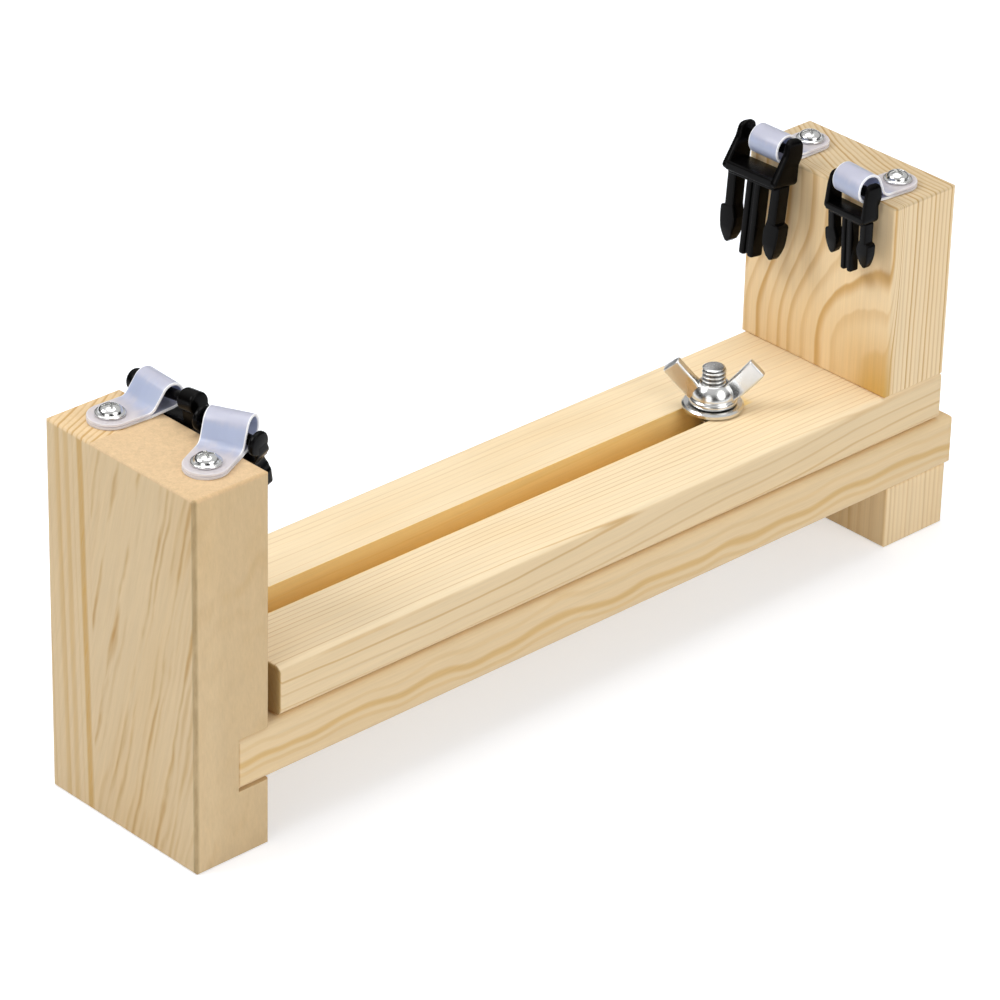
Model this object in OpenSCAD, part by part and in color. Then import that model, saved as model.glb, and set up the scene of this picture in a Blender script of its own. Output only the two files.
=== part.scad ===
// Adjustable wooden braiding jig: a fixed post on a base board, and a second post on a slotted
// slide board that a bolt and wing nut clamp. Nylon clips on the posts hold two pairs of buckle halves.
// Millimetres. +X runs from the fixed post to the sliding post, +Z is up, the ground is z = 0.

/* [Wood] */
// Length from the outer face of the fixed post to the end of the base board
base_len = 290; // [270:1:330]
// Width of the fixed post and the base board
base_w = 60; // [58:1:66]
// Height of both posts above the ground
post_h = 112; // [104:1:130]
// Thickness of the posts and the foot along the jig
post_t = 25; // [24:0.5:28]
// Thickness of the base board
base_t = 16; // [14:0.5:18]
// Thickness of the slide board
slide_t = 15; // [13:0.5:17]
// Height of the foot, which is the clear height under the base board
foot_h = 20; // [18:0.5:26]
// Depth that the base board is let into the fixed post
housing_d = 10.5; // [8:0.5:13]
// How far the slide board and its post stand in from the base board on each side
slide_inset = 1; // [0.5:0.1:1.5]
// How far the foot stands in from the base board on each side
foot_inset = 1.5; // [0.5:0.1:3]
// Rest gap between the slide board and the fixed post
rest_gap = 4.5; // [4:0.1:8]
// Step from the end of the slide board to the end of the base board
end_step = 5; // [2:0.5:8]
// Rounding of the long edges of the boards
board_r = 2.4; // [1:0.1:3]
// Rounding of the edges of the posts
post_r = 1; // [0.5:0.1:1.5]

/* [Clamp] */
// Distance of the bolt from the outer face of the fixed post
bolt_x = 219; // [200:1:225]
// Bolt diameter
bolt_d = 7; // [6:0.1:7.2]
// Height of the bolt end above the ground
bolt_top = 64.6; // [63:0.1:72]
// Slot width in the slide board
slot_w = 10.5; // [8:0.1:11]
// Distance of the closed start of the slot from the outer face of the fixed post
slot_start = 42; // [38:1:60]
// Room between the bolt and the end of the slot at rest
slot_room = 4.7; // [4.5:0.1:5.5]
// Washer outer diameter
washer_d = 18; // [16:0.5:20]
// Washer thickness
washer_t = 1.6; // [1:0.1:2]
// Wing nut flange diameter
nut_d = 14.2; // [13.6:0.1:15]
// Turn of the wing nut about the bolt in degrees
nut_turn = -46; // [-180:1:180]
// Twist of each wing about its own length in degrees
wing_twist = 13; // [0:1:15]
// Running clearance between sliding faces
run = 0.3; // [0.2:0.05:0.5]

/* [Clips] */
// Width of the nylon straps on the fixed post and on the sliding post
clip_w = [12.6, 11.4]; // [10:0.1:13]
// Thickness of the nylon strap
clip_t = 0.9; // [0.8:0.1:1.1]
// Distance from the screw to the centre of the loop
clip_reach = 15.6; // [15.4:0.1:16]
// Rise of the lower strap toward the loop in degrees
clip_rise = 5; // [4:1:7]
// Flange diameter of the clip screws
screw_d = 8.4; // [7:0.1:9]
// Left far clip: screw from the outer face, screw across, turn in degrees, inner radius of the loop
left_far = [12.2, 18.1, -3, 2.9]; // [-30:0.1:30]
// Left near clip: screw from the outer face, screw across, turn in degrees, inner radius of the loop
left_near = [13.8, -18.4, 26, 3.4]; // [-30:0.1:30]
// Right far clip: screw from the inner face, screw across, turn in degrees, inner radius of the loop
right_far = [12.4, 17, 0, 3.6]; // [-30:0.1:30]
// Right near clip: screw from the inner face, screw across, turn in degrees, inner radius of the loop
right_near = [11.7, -18.2, 5, 3.6]; // [-30:0.1:30]

/* [Buckles] */
// Frame width of the large buckle
large_w = 22; // [21.8:0.1:22.4]
// Frame width of the small buckle
small_w = 17.2; // [17:0.1:17.6]
// Radius of the round bar of every buckle half
bar_r = 1.5; // [1.3:0.1:1.5]
// Outward lean of the small socket half, which clears the post edge
small_lean = 14; // [14:1:18]
// Turn of the small socket half in its loop, back toward the line of the post, in degrees
small_turn = 17; // [14:1:18]
// Turn of the large plug half in its loop in degrees
plug_turn = -1.5; // [-2:0.5:0]
// Swing of the large plug half away from the post at rest, in degrees
plug_swing = 7; // [4:1:9]
// Tilt at which the large and the small socket half hang in their loops, in degrees
socket_tilt = [-7, 4]; // [-7:0.5:4]
// Tilt at which the large and the small plug half hang in their loops, in degrees
plug_tilt = [2, 2]; // [0:0.5:3]

/* [Hidden] */
$fn = 64;
pine = "#ecd3a6";
pale_pine = "#f2dfb9";
nylon = "#e4e2ee";
black_plastic = "#1c1c1e";
zinc = "#c9ccd0";
x0 = -base_len / 2;
base_top = foot_h + base_t;
slide_bot = base_top + run;
slide_top = slide_bot + slide_t;
slide_x0 = x0 + post_t + rest_gap;
slide_x1 = base_len / 2 - end_step;
slide_w = base_w - 2 * slide_inset;
right_in = slide_x1 - post_t;
bx = x0 + bolt_x;
slot_a = x0 + slot_start;
slot_b = bx + bolt_d / 2 + slot_room;
washer_z = slide_top + run;
nut_z = washer_z + washer_t + run;
rise_u = clip_reach - 6.7;
shank_d = 3.6;
tap = 0.04;
tab_top = 2 * clip_t + 0.05;

// Points of a rectangle with rounded corners, centred, n chords in each corner
function round_rect(a, b, r, n = 5) = [for (c = [0:3]) for (i = [0:n])
    let (t = 90 * c + 90 * i / n, sx = (c == 0 || c == 3) ? 1 : -1, sy = c < 2 ? 1 : -1)
    [sx * (a / 2 - r) + r * cos(t), sy * (b / 2 - r) + r * sin(t)]];

// Block of planed timber: r rounds the edges along X, e eases the edges round its two ends
module timber(l, w, h, r, e) {
    intersection() {
        rotate([90, 0, 90])
            linear_extrude(l, center = true) polygon(round_rect(w, h, r));
        linear_extrude(h + 2, center = true) polygon(round_rect(l, w + 0.02, e, 3));
        rotate([90, 0, 0])
            linear_extrude(w + 2, center = true) polygon(round_rect(l, h + 0.02, e, 3));
    }
}

// Upright post of planed timber standing on z = 0
module post(t, w, h) {
    translate([0, 0, h / 2])
        rotate([0, 90, 0])
            timber(h, w, t, post_r, post_r * 0.8);
}

// Wood screw with a countersunk head, head face at z = 0 and the point upward
module wood_screw(l) {
    rotate_extrude()
        polygon([[0, 0], [3.7, 0], [3.7, 0.3], [1.9, 2.6], [1.9, l - 4], [0, l]]);
}

// Room for a countersunk wood screw, the same shape with a small fit
module wood_screw_room(l) {
    rotate_extrude()
        polygon([[0, -1], [3.8, -1], [3.8, 0.32], [1.9 + tap, 2.66], [1.9 + tap, l - 4], [0, l + 0.1]]);
}

// Washer-head screw with a cross recess, underside of the flange at z = 0
module pan_screw(l) {
    difference() {
        rotate_extrude()
            polygon(concat([[0, -l], [shank_d / 2, -l + 3.5], [shank_d / 2, 0], [screw_d / 2 - 0.2, 0],
                [screw_d / 2, 0.25], [screw_d / 2, 0.6], [screw_d / 2 - 0.3, 0.85]],
                [for (i = [0:8]) [3.35 * cos(10 * i), 0.85 + 1.9 * sin(10 * i)]], [[0, 2.75]]));
        for (a = [45, 135])
            rotate([0, 0, a])
                translate([-2, -0.45, 1.1])
                    cube([4, 0.9, 3]);
    }
}

// Height of the centre of a loop of inner radius r, and of a bar that hangs in it, above the post
function loop_z(r) = (clip_reach - rise_u + (r + clip_t) * sin(clip_rise)) * tan(clip_rise)
    + (r + clip_t) * cos(clip_rise);
function bar_z(r) = loop_z(r) - (r - bar_r - 0.6);

// Strap profile of a clip seen along the loop: lower tab, loop, falling bend and upper tab as one strip
module clip_profile(loop_r) {
    n = 30;
    loop_o = loop_r + clip_t;
    rf = 3;
    rm = loop_r + clip_t / 2;
    wt = 1.5 * clip_t + 0.05;
    uf = clip_reach - 7.9;
    loop_c = [clip_reach, loop_z(loop_r)];
    bend_c = [uf, wt + rf];
    v = loop_c - bend_c;
    lift = atan2(v[1], v[0]) + asin((rf + rm) / norm(v));
    loop_a = [for (i = [0:n]) -90 + clip_rise + (lift + 180 - clip_rise) * i / n];
    bend_a = [for (i = [0:8]) lift - 90 - lift * i / 8];
    in_side = concat([[-clip_reach, clip_t], [rise_u - clip_t * tan(clip_rise / 2), clip_t]],
        [for (a = loop_a) loop_c + loop_r * [cos(a), sin(a)]],
        [for (a = bend_a) bend_c + (rf + clip_t / 2) * [cos(a), sin(a)]], [[-clip_reach, wt - clip_t / 2]]);
    out_side = concat([[-clip_reach, 0], [rise_u, 0]], [for (a = loop_a) loop_c + loop_o * [cos(a), sin(a)]],
        [for (a = bend_a) bend_c + (rf - clip_t / 2) * [cos(a), sin(a)]], [[-clip_reach, wt + clip_t / 2]]);
    polygon(concat(in_side, [for (i = [len(out_side) - 1:-1:0]) out_side[i]]));
}

// Nylon clip of width w: screw axis on the origin, loop toward +X, lying on z = 0
module clip(r, w) {
    difference() {
        intersection() {
            rotate([90, 0, 0])
                linear_extrude(w, center = true) clip_profile(r);
            union() {
                cylinder(d = w, h = 12);
                translate([0, -w, 0])
                    cube([clip_reach + 6, 2 * w, 12]);
            }
        }
        translate([0, 0, -1])
            cylinder(d = shank_d + 0.3, h = 6);
    }
}

// Place children at a clip on the left or the right post top
module on_left(c) {
    translate([x0 + c[0], c[1], post_h])
        rotate([0, 0, c[2]])
            children();
}
module on_right(c) {
    translate([right_in + c[0], c[1], post_h])
        rotate([0, 0, 180 - c[2]])
            children();
}

// Place children with the bar of a buckle half on the origin, +X away from the post, lifted in its loop
module at_bar(c, lift = 0) {
    translate([clip_reach, 0, bar_z(c[3]) + lift])
        children();
}

// Pilot bores for the two clip screws of one post top
module screw_bores(a, b, xs, s) {
    for (c = [a, b])
        translate([xs + c[0], c[1], post_h - 13])
            cylinder(d = shank_d + 2 * tap, h = 20);
}

module left_post() {
    color(pine)
        difference() {
            translate([x0 + post_t / 2, 0, 0])
                post(post_t, base_w, post_h);
            translate([x0 + post_t - housing_d, -base_w, foot_h])
                cube([housing_d + 5, 2 * base_w, base_t]);
            screw_bores(left_far, left_near, x0, 1);
        }
}

module base_board() {
    l = base_len - post_t + housing_d;
    color(pale_pine)
        difference() {
            translate([base_len / 2 - l / 2, 0, foot_h + base_t / 2])
                timber(l, base_w, base_t, board_r, 1.2);
            translate([bx, 0, foot_h - 1])
                cylinder(d = bolt_d + 0.1, h = base_t + 2);
            translate([bx - bolt_d / 2 - 0.05, -bolt_d / 2 - 0.05, foot_h - 1])
                cube([bolt_d + 0.1, bolt_d + 0.1, 4.6]);
            for (s = [-1, 1])
                translate([base_len / 2 - post_t / 2 - 0.5, s * 18, foot_h - 17])
                    wood_screw_room(30);
        }
}

module foot_block() {
    color(pine)
        difference() {
            translate([base_len / 2 - post_t / 2 - 0.5, 0, foot_h / 2])
                rotate([0, 0, 90])
                    timber(base_w - 2 * foot_inset, post_t, foot_h, post_r, 0.8);
            for (s = [-1, 1])
                translate([base_len / 2 - post_t / 2 - 0.5, s * 18, foot_h - 17]) {
                    wood_screw_room(30);
                    translate([0, 0, -foot_h])
                        cylinder(d = 7.6, h = foot_h + 0.32);
                }
        }
}

module foot_screws() {
    color(zinc)
        for (s = [-1, 1])
            translate([base_len / 2 - post_t / 2 - 0.5, s * 18, foot_h - 17])
                wood_screw(30);
}

module carriage_bolt() {
    color(zinc)
        translate([bx, 0, 0]) {
            translate([0, 0, foot_h])
                rotate_extrude()
                    polygon(concat([[0, -3.4]], [for (i = [1:8])
                        [7.4 * sin(11.25 * i), -0.5 - 2.9 * cos(11.25 * i)]], [[7.4, 0], [0, 0]]));
            translate([-bolt_d / 2, -bolt_d / 2, foot_h - 0.2])
                cube([bolt_d, bolt_d, 3.6]);
            rotate_extrude()
                polygon([[0, foot_h - 0.2], [bolt_d / 2, foot_h - 0.2], [bolt_d / 2, bolt_top - 0.9],
                    [bolt_d / 2 - 0.7, bolt_top], [0, bolt_top]]);
        }
}

module flat_washer() {
    color(zinc)
        translate([bx, 0, washer_z])
            difference() {
                rotate_extrude()
                    polygon([[bolt_d / 2 + 0.2, 0], [washer_d / 2 - 0.3, 0], [washer_d / 2, 0.3],
                        [washer_d / 2, washer_t - 0.5], [washer_d / 2 - 0.5, washer_t],
                        [bolt_d / 2 + 0.2, washer_t]]);
            }
}

module wing() {
    lean = 47;
    difference() {
        translate([4.3, 0, 2.6])
            rotate([0, -lean, 0])
                rotate([90 - wing_twist, 0, 0])
                    linear_extrude(2.7, center = true)
                        polygon([[-1.5, -2.2], [1.5, -2.9], [11.2, -2.9], [11.8, -2.7], [12, -2.2],
                            [12, 2.2], [11.8, 2.7], [11.2, 2.9], [3, 2.7], [0.4, 2.2], [-1.5, 2]]);
        translate([0, 0, -5])
            cylinder(r = nut_d / 2 + 3, h = 5.4);
    }
}

module wing_nut() {
    color(zinc)
        translate([bx, 0, nut_z])
            rotate([0, 0, nut_turn])
                difference() {
                    union() {
                        rotate_extrude()
                            polygon([[0, 0], [nut_d / 2 - 0.4, 0], [nut_d / 2, 0.5], [nut_d / 2, 1.2],
                                [nut_d / 2 - 0.5, 1.8], [6.3, 2.3], [6.1, 3.2], [5.7, 4.2], [5.2, 5.1],
                                [4.6, 5.8], [4.1, 6.1], [0, 6.2]]);
                        for (a = [0, 180])
                            rotate([0, 0, a])
                                wing();
                    }
                    translate([0, 0, -1])
                        cylinder(d = bolt_d + 0.1, h = 20);
                }
}

module slide_board() {
    l = slide_x1 - slide_x0;
    color(pale_pine)
        difference() {
            translate([slide_x0 + l / 2, 0, slide_bot + slide_t / 2])
                timber(l, slide_w, slide_t, board_r, 0.9);
            translate([slot_a + slot_w / 2, -slot_w / 2, slide_bot - 1])
                cube([slot_b - slot_a - slot_w, slot_w, slide_t + 2]);
            for (x = [slot_a + slot_w / 2, slot_b - slot_w / 2])
                translate([x, 0, slide_bot - 1])
                    cylinder(d = slot_w, h = slide_t + 2);
            for (s = [-1, 1])
                translate([right_in + post_t / 2, s * 16, slide_bot + 0.4])
                    wood_screw_room(40);
        }
}

module right_post() {
    color(pine)
        difference() {
            translate([right_in + post_t / 2, 0, slide_top])
                post(post_t, slide_w, post_h - slide_top);
            screw_bores(right_far, right_near, right_in, 1);
            for (s = [-1, 1])
                translate([right_in + post_t / 2, s * 16, slide_bot + 0.4])
                    wood_screw_room(40);
        }
}

module right_post_screws() {
    color(zinc)
        for (s = [-1, 1])
            translate([right_in + post_t / 2, s * 16, slide_bot + 0.4])
                wood_screw(40);
}

module left_far_clip() {
    color(nylon) on_left(left_far) clip(left_far[3], clip_w[0]);
}

module left_near_clip() {
    color(nylon) on_left(left_near) clip(left_near[3], clip_w[0]);
}

module right_far_clip() {
    color(nylon) on_right(right_far) clip(right_far[3], clip_w[1]);
}

module right_near_clip() {
    color(nylon) on_right(right_near) clip(right_near[3], clip_w[1]);
}

module left_far_screw() {
    color(zinc) on_left(left_far) translate([0, 0, tab_top]) pan_screw(14);
}

module left_near_screw() {
    color(zinc) on_left(left_near) translate([0, 0, tab_top]) pan_screw(14);
}

module right_far_screw() {
    color(zinc) on_right(right_far) translate([0, 0, tab_top]) pan_screw(14);
}

module right_near_screw() {
    color(zinc) on_right(right_near) translate([0, 0, tab_top]) pan_screw(14);
}

// Blend from a to b as t goes from 0 to 1, level at both ends
function ease(a, b, t) = a + (b - a) * (1 - cos(180 * t)) / 2;

// Mirror a half outline, given from the top down, into a closed outline
function both(h) = concat(h, [for (i = [len(h) - 1:-1:0]) [-h[i][0], h[i][1]]]);

// Extrude a front outline [across, up] through the depth, or a side outline [out, up] across
module front(d) {
    rotate([90, 0, 90])
        linear_extrude(d, center = true) children();
}
module side(w) {
    rotate([90, 0, 0])
        linear_extrude(w, center = true) children();
}

// Socket half: hourglass shell with a bar between two round ears, open at the mouth below
module socket(ear, ear_r, waist, mouth, slit, len, zw, zs, back, front_t, front_m) {
    wall = 1.5;
    roof = zw + 1.2;
    outline = both(concat([[ear - 0.8, ear_r + 0.3], [ear, ear_r - 0.7], [ear, -3]],
        [for (i = [1:8]) [ease(ear, waist, i / 8), -3 + (zw + 3) * i / 8]],
        [for (i = [1:8]) [ease(waist, mouth - 0.4, i / 8), zw + (zs - zw) * i / 8]],
        [[mouth, zs - 0.4], [mouth, len]]));
    difference() {
        intersection() {
            front(40) polygon(outline);
            side(60) union() {
                circle(ear_r);
                polygon([[-back, 0], [-back, len], [front_m, len], [front_m, zs + 1],
                    [front_t, -1.5], [2.4, 1]]);
            }
        }
        translate([-20, -slit / 2, -5.7])
            cube([40, slit, 12]);
        side(2 * mouth - 3)
            polygon([[-back + wall, len - 1], [front_m - wall, len - 1], [front_m - wall, zs],
                [front_t - wall + 0.5, roof], [-back + wall, roof]]);
        side(2 * mouth - 2)
            polygon([[-back + wall - 0.5, len - 1], [front_m - wall + 0.5, len - 1],
                [front_m - wall, len + 0.8], [-back + wall, len + 0.8]]);
    }
    rotate([90, 0, 0])
        cylinder(r = bar_r, h = slit + 1, center = true);
}

// One barbed arm of a plug half, its root on the origin and the barb below, +Y outward
module arm(l, neck, w, head, dep) {
    front(dep)
        polygon(concat([[-w / 2, 0.5], [w / 2, 0.5], [w / 2 - 0.2, -neck + 0.4], [w / 2 + head - 0.4, -neck],
            [w / 2 + head, -neck - 0.5]],
            [for (i = [1:7])
                [(w / 2 + head) * cos(12.5 * i), -neck - 0.5 - (l - neck - 0.5) * sin(12.5 * i)]],
            [[-0.4, -l], [-0.8, -l + 0.5]],
            [for (i = [1:4]) [-0.8 - (w / 2 + 0.6) * sin(22.5 * i),
                -l + 0.5 + (l - neck) * 0.7 * (1 - cos(22.5 * i))]],
            [[-w / 2 - 0.3, -neck + 1]]));
}

// Plug half: frame with a bar, two barbed arms that stand out past it and a grooved guide between them
module plug(w, lug, top, bar_to_foot, rail, back, front_t, front_f, arm_l, arm_neck, arm_w, arm_head,
        arm_out, guide_w, guide_l, dep) {
    foot = -bar_to_foot;
    mid = (front_f - back) / 2;
    inner = w / 2 - lug;
    difference() {
        intersection() {
            front(40)
                polygon(both([[w / 2 - 1.5, top + 0.1], [w / 2 - 0.8, top - 0.4], [w / 2 - 0.4, top - 1.4],
                    [w / 2 - 0.2, -1], [w / 2, foot + 1.4], [w / 2 - 0.2, foot + 0.5], [w / 2 - 0.8, foot]]));
            side(60)
                polygon([[-back, -3.6], [-back, foot + 0.8], [-back + 0.8, foot], [mid, foot - 0.3],
                    [front_f - 0.8, foot], [front_f, foot + 0.8], [front_f, foot + rail * 0.5],
                    [front_t + 0.3, -0.5], [front_t - 0.3, top - 2.4], [front_t - 1.1, top - 1],
                    [front_t - 2, top - 0.3], [front_t - 3, top], [-1, top - 0.3], [-2.1, top - 1.1],
                    [-2.8, top - 2.3], [-3, top - 3.8], [-2.8, -1.8]]);
        }
        front(60)
            polygon(both([[inner, 6], [inner, foot + rail + 1.6], [inner - 0.5, foot + rail + 0.6],
                [inner - 1.6, foot + rail]]));
    }
    rotate([90, 0, 0])
        cylinder(r = bar_r, h = 2 * inner + 1, center = true);
    translate([mid, 0, foot - 0.45])
        cube([front_f + back - 2.4, w - 3.4, 1.1], center = true);
    for (s = [0, 1])
        mirror([0, s, 0])
            translate([mid, w / 2 + arm_out - arm_head - arm_w / 2, foot - 0.8])
                arm(arm_l, arm_neck, arm_w, arm_head, dep);
    difference() {
        translate([mid, 0, foot - 0.8 - guide_l / 2])
            intersection() {
                front(dep)
                    polygon(both([[guide_w / 2, guide_l / 2 + 0.4], [guide_w / 2, -guide_l / 2 + 1],
                        [guide_w / 2 - 0.8, -guide_l / 2]]));
                side(20)
                    polygon(both([[dep / 2, guide_l / 2 + 1], [dep / 2, -guide_l / 2 + 1.6],
                        [dep / 2 - 0.8, -guide_l / 2]]));
            }
        translate([mid + dep / 2 - dep * 0.3, -guide_w * 0.12, foot - 1.3 - guide_l])
            cube([dep, guide_w * 0.24, guide_l]);
    }
}

module large_socket() {
    w = large_w;
    color(black_plastic)
        on_left(left_far)
            at_bar(left_far, 0.55)
                rotate([0, 0, -left_far[2]])
                    rotate([socket_tilt[0], 0, 0])
                        translate([0, -3.4, 0])
                            socket(w * 0.605, 3.2, w * 0.42, w * 0.49, 21, -24.5,
                                -10.5, -16.5, 1.7, 3.4, 6.2);
}

module small_socket() {
    w = small_w;
    color(black_plastic)
        on_left(left_near)
            translate([-0.5, 0, 0])
                at_bar(left_near)
                    rotate([0, 0, -small_turn])
                        rotate([socket_tilt[1], -small_lean, 0])
                            socket(w * 0.59, 3.5, w * 0.42, w * 0.5, 16.8, -16.8, -8.8, -12, 1.5, 2.9, 4.9);
}

module large_plug() {
    color(black_plastic)
        on_right(right_far)
            at_bar(right_far, 1.4)
                rotate([0, 0, plug_turn])
                    rotate([plug_tilt[0], -plug_swing, 0])
                        translate([0, -1.2, 0])
                            plug(large_w, 2.4, 4.1, 9.85, 2.8, 1.8, 3.4, 7.7, 21.8, 10.8, 3.2, 1.4, 0.9,
                                5.4, 23.2, 4.6);
}

module small_plug() {
    color(black_plastic)
        on_right(right_near)
            at_bar(right_near)
                rotate([plug_tilt[1], 0, 0])
                    translate([0, -0.8, 0])
                        plug(small_w, 1.6, 3.4, 8.4, 2.2, 1.8, 2.9, 4.2, 13.2, 5.6, 2.4, 1, 0.5,
                            4.2, 16.2, 3.2);
}

left_post();
base_board();
foot_block();
foot_screws();
carriage_bolt();
flat_washer();
left_far_clip();
left_far_screw();
left_near_clip();
left_near_screw();
slide_board();
right_post();
right_post_screws();
right_far_clip();
right_far_screw();
right_near_clip();
right_near_screw();
wing_nut();
large_socket();
small_socket();
large_plug();
small_plug();
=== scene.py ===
import math

import bmesh
import bpy
import numpy as np
from mathutils import Euler, Matrix, Vector


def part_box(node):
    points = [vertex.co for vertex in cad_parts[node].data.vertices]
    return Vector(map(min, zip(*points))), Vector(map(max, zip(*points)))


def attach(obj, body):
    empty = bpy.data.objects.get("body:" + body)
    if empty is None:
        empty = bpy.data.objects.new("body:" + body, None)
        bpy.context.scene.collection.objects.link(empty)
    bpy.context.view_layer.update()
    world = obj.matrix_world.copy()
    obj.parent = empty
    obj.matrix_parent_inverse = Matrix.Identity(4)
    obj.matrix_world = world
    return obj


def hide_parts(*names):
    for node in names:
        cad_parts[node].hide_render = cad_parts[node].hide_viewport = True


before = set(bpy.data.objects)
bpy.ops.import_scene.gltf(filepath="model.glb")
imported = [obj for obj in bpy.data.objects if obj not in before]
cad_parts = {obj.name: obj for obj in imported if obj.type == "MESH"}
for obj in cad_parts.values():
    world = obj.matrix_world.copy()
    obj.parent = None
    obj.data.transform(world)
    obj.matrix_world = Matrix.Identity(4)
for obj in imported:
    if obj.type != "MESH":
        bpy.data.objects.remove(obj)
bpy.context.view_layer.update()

bl_info = {
    "name": "Braiding jig looks",
    "version": (1, 0, 0),
    "blender": (4, 5, 0),
    "location": "3D View > Sidebar > Jig",
    "description": "Dresses the wooden braiding jig: pine, zinc hardware, nylon clips and buckle halves",
    "category": "Object",
}

MM = 0.001
WELD = 0.0001 * MM


def low_end(node, axis):
    """Lower end of a CAD node along an axis, in millimetres."""
    return round(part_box(node)[0][axis] / MM, 3)


def high_end(node, axis):
    """Upper end of a CAD node along an axis, in millimetres."""
    return round(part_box(node)[1][axis] / MM, 3)


# Places in the frame, in millimetres
POST_TOP = high_end("left_post", 2)
LEFT_OUTER = low_end("left_post", 0)
LEFT_NEAR = low_end("left_post", 1)
RIGHT_INNER = low_end("right_post", 0)
FOOT_INNER = low_end("foot_block", 0)
SLIDE_INNER = low_end("slide_board", 0)
SLIDE_NEAR = low_end("slide_board", 1)
BASE_NEAR = low_end("base_board", 1)
BASE_UNDER = low_end("base_board", 2)
BASE_END = high_end("base_board", 0)

# Sizes in millimetres and one slope in radians, as in the solids
SLOT_START, SLOT_END, SLOT_HALF = -103.0, 82.2, 5.25
BOLT_X, BOLT_R, BOLT_TOP = 74.0, 3.5, 64.6
NUT_SEAT = 53.5
STRAP_THICK = 0.9
STRAP_REACH = 15.6
STRAP_FOLD = STRAP_REACH - 6.7
STRAP_BEND = STRAP_REACH - 7.9
STRAP_RISE = math.radians(5.0)
SCREW_SEAT = 1.85
BAR_R = 1.5
BAR_GAP = 0.6
LARGE_W, SMALL_W = 22.0, 17.2

# Least half size of a section, so that its points stay apart
LEAST = 0.02

# Each clip: screw place on the post top, turn in degrees, inner radius of the loop, width and body
CLIPS = {
    "left_far": dict(screw=(LEFT_OUTER + 12.2, 18.1), turn=-3.0, loop=2.9, width=12.6, body="base"),
    "left_near": dict(screw=(LEFT_OUTER + 13.8, -18.4), turn=26.0, loop=3.4, width=12.6, body="base"),
    "right_far": dict(screw=(RIGHT_INNER + 12.4, 17.0), turn=180.0, loop=3.6, width=11.4, body="slide"),
    "right_near": dict(screw=(RIGHT_INNER + 11.7, -18.2), turn=175.0, loop=3.6, width=11.4, body="slide"),
}


# Arrays and meshes

def turn_x(deg):
    """Matrix that turns about X."""
    c, s = math.cos(math.radians(deg)), math.sin(math.radians(deg))
    return np.array([[1, 0, 0], [0, c, -s], [0, s, c]])


def turn_y(deg):
    """Matrix that turns about Y."""
    c, s = math.cos(math.radians(deg)), math.sin(math.radians(deg))
    return np.array([[c, 0, s], [0, 1, 0], [-s, 0, c]])


def turn_z(deg):
    """Matrix that turns about Z."""
    c, s = math.cos(math.radians(deg)), math.sin(math.radians(deg))
    return np.array([[c, -s, 0], [s, c, 0], [0, 0, 1]])


def smooth(a, b, t):
    """0 up to a, 1 from b on, and 3t2 - 2t3 of the share t between them; a may be larger than b."""
    t = np.clip((t - a) / (b - a), 0.0, 1.0)
    return t * t * (3 - 2 * t)


def eased(a, b, t):
    """From a to b as half a cosine wave, level at both ends."""
    return a + (b - a) * (1 - np.cos(np.pi * np.clip(t, 0, 1))) / 2


def eased_line(at, places, values, reach=0.35):
    """Straight runs between the values, with corners rounded by the mean of five points within reach."""
    return sum(np.interp(at + k * reach / 2, places, values) for k in (-2, -1, 0, 1, 2)) / 5


def skin(rings, closed_ends=True):
    """Quads between neighbouring rings of a grid [ring, point, xyz], and a fan on each end ring."""
    n, m = rings.shape[:2]
    index = np.arange(n * m).reshape(n, m)
    a, b = index[:-1], index[1:]
    quads = np.stack([a, np.roll(a, -1, 1), np.roll(b, -1, 1), b], -1).reshape(-1, 4)
    points = rings.reshape(-1, 3)
    if not closed_ends:
        return points, [quads]
    points = np.vstack([points, rings[0].mean(0), rings[-1].mean(0)])
    first = np.stack([np.full(m, n * m), np.roll(index[0], -1), index[0]], -1)
    last = np.stack([np.full(m, n * m + 1), index[-1], np.roll(index[-1], -1)], -1)
    return points, [quads, first, last]


def outward(points, faces):
    """The same faces, turned over if the volume that they enclose comes out negative."""
    volume = 0.0
    for f in faces:
        for k in range(1, f.shape[1] - 1):
            a, b, c = points[f[:, 0]], points[f[:, k]], points[f[:, k + 1]]
            volume += np.einsum("ij,ij->i", a, np.cross(b, c)).sum()
    return faces if volume > 0 else [f[:, ::-1] for f in faces]


def stations(length, step, end_r):
    """Distances along a path: even steps, and a quarter circle of steps within end_r of each end."""
    near = end_r * (1 - np.cos(np.linspace(0.12, 1, 6) * np.pi / 2))
    middle = np.linspace(end_r, length - end_r, max(2, int((length - 2 * end_r) / step) + 1))
    return np.concatenate([near[:-1], middle, (length - near[:-1])[::-1]])


def end_shrink(dist, length, end_r):
    """How far a section is drawn in at each distance, so that both ends are rounded by end_r."""
    d = np.minimum(dist, length - dist)
    return np.where(d < end_r, end_r - np.sqrt(np.maximum(0, end_r ** 2 - (end_r - d) ** 2)), 0.0)


def rounded_rings(path, side, up, half_side, half_up, corner, k=5):
    """Rounded rectangles carried along a path, with quarter circles of k chords at their corners."""
    n = len(path)
    half_side, half_up = np.broadcast_to(half_side, n), np.broadcast_to(half_up, n)
    corner = np.minimum(np.minimum(np.broadcast_to(corner, n), half_side), half_up)
    angle = np.concatenate([np.pi / 2 * q + np.linspace(0, np.pi / 2, k + 1) for q in range(4)])
    sign_s = np.repeat([1, -1, -1, 1], k + 1)
    sign_u = np.repeat([1, 1, -1, -1], k + 1)
    s = sign_s * (half_side - corner)[:, None] + corner[:, None] * np.cos(angle)
    u = sign_u * (half_up - corner)[:, None] + corner[:, None] * np.sin(angle)
    return path[:, None] + s[..., None] * np.broadcast_to(side, (n, 3))[:, None] \
        + u[..., None] * np.broadcast_to(up, (n, 3))[:, None]


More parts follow.
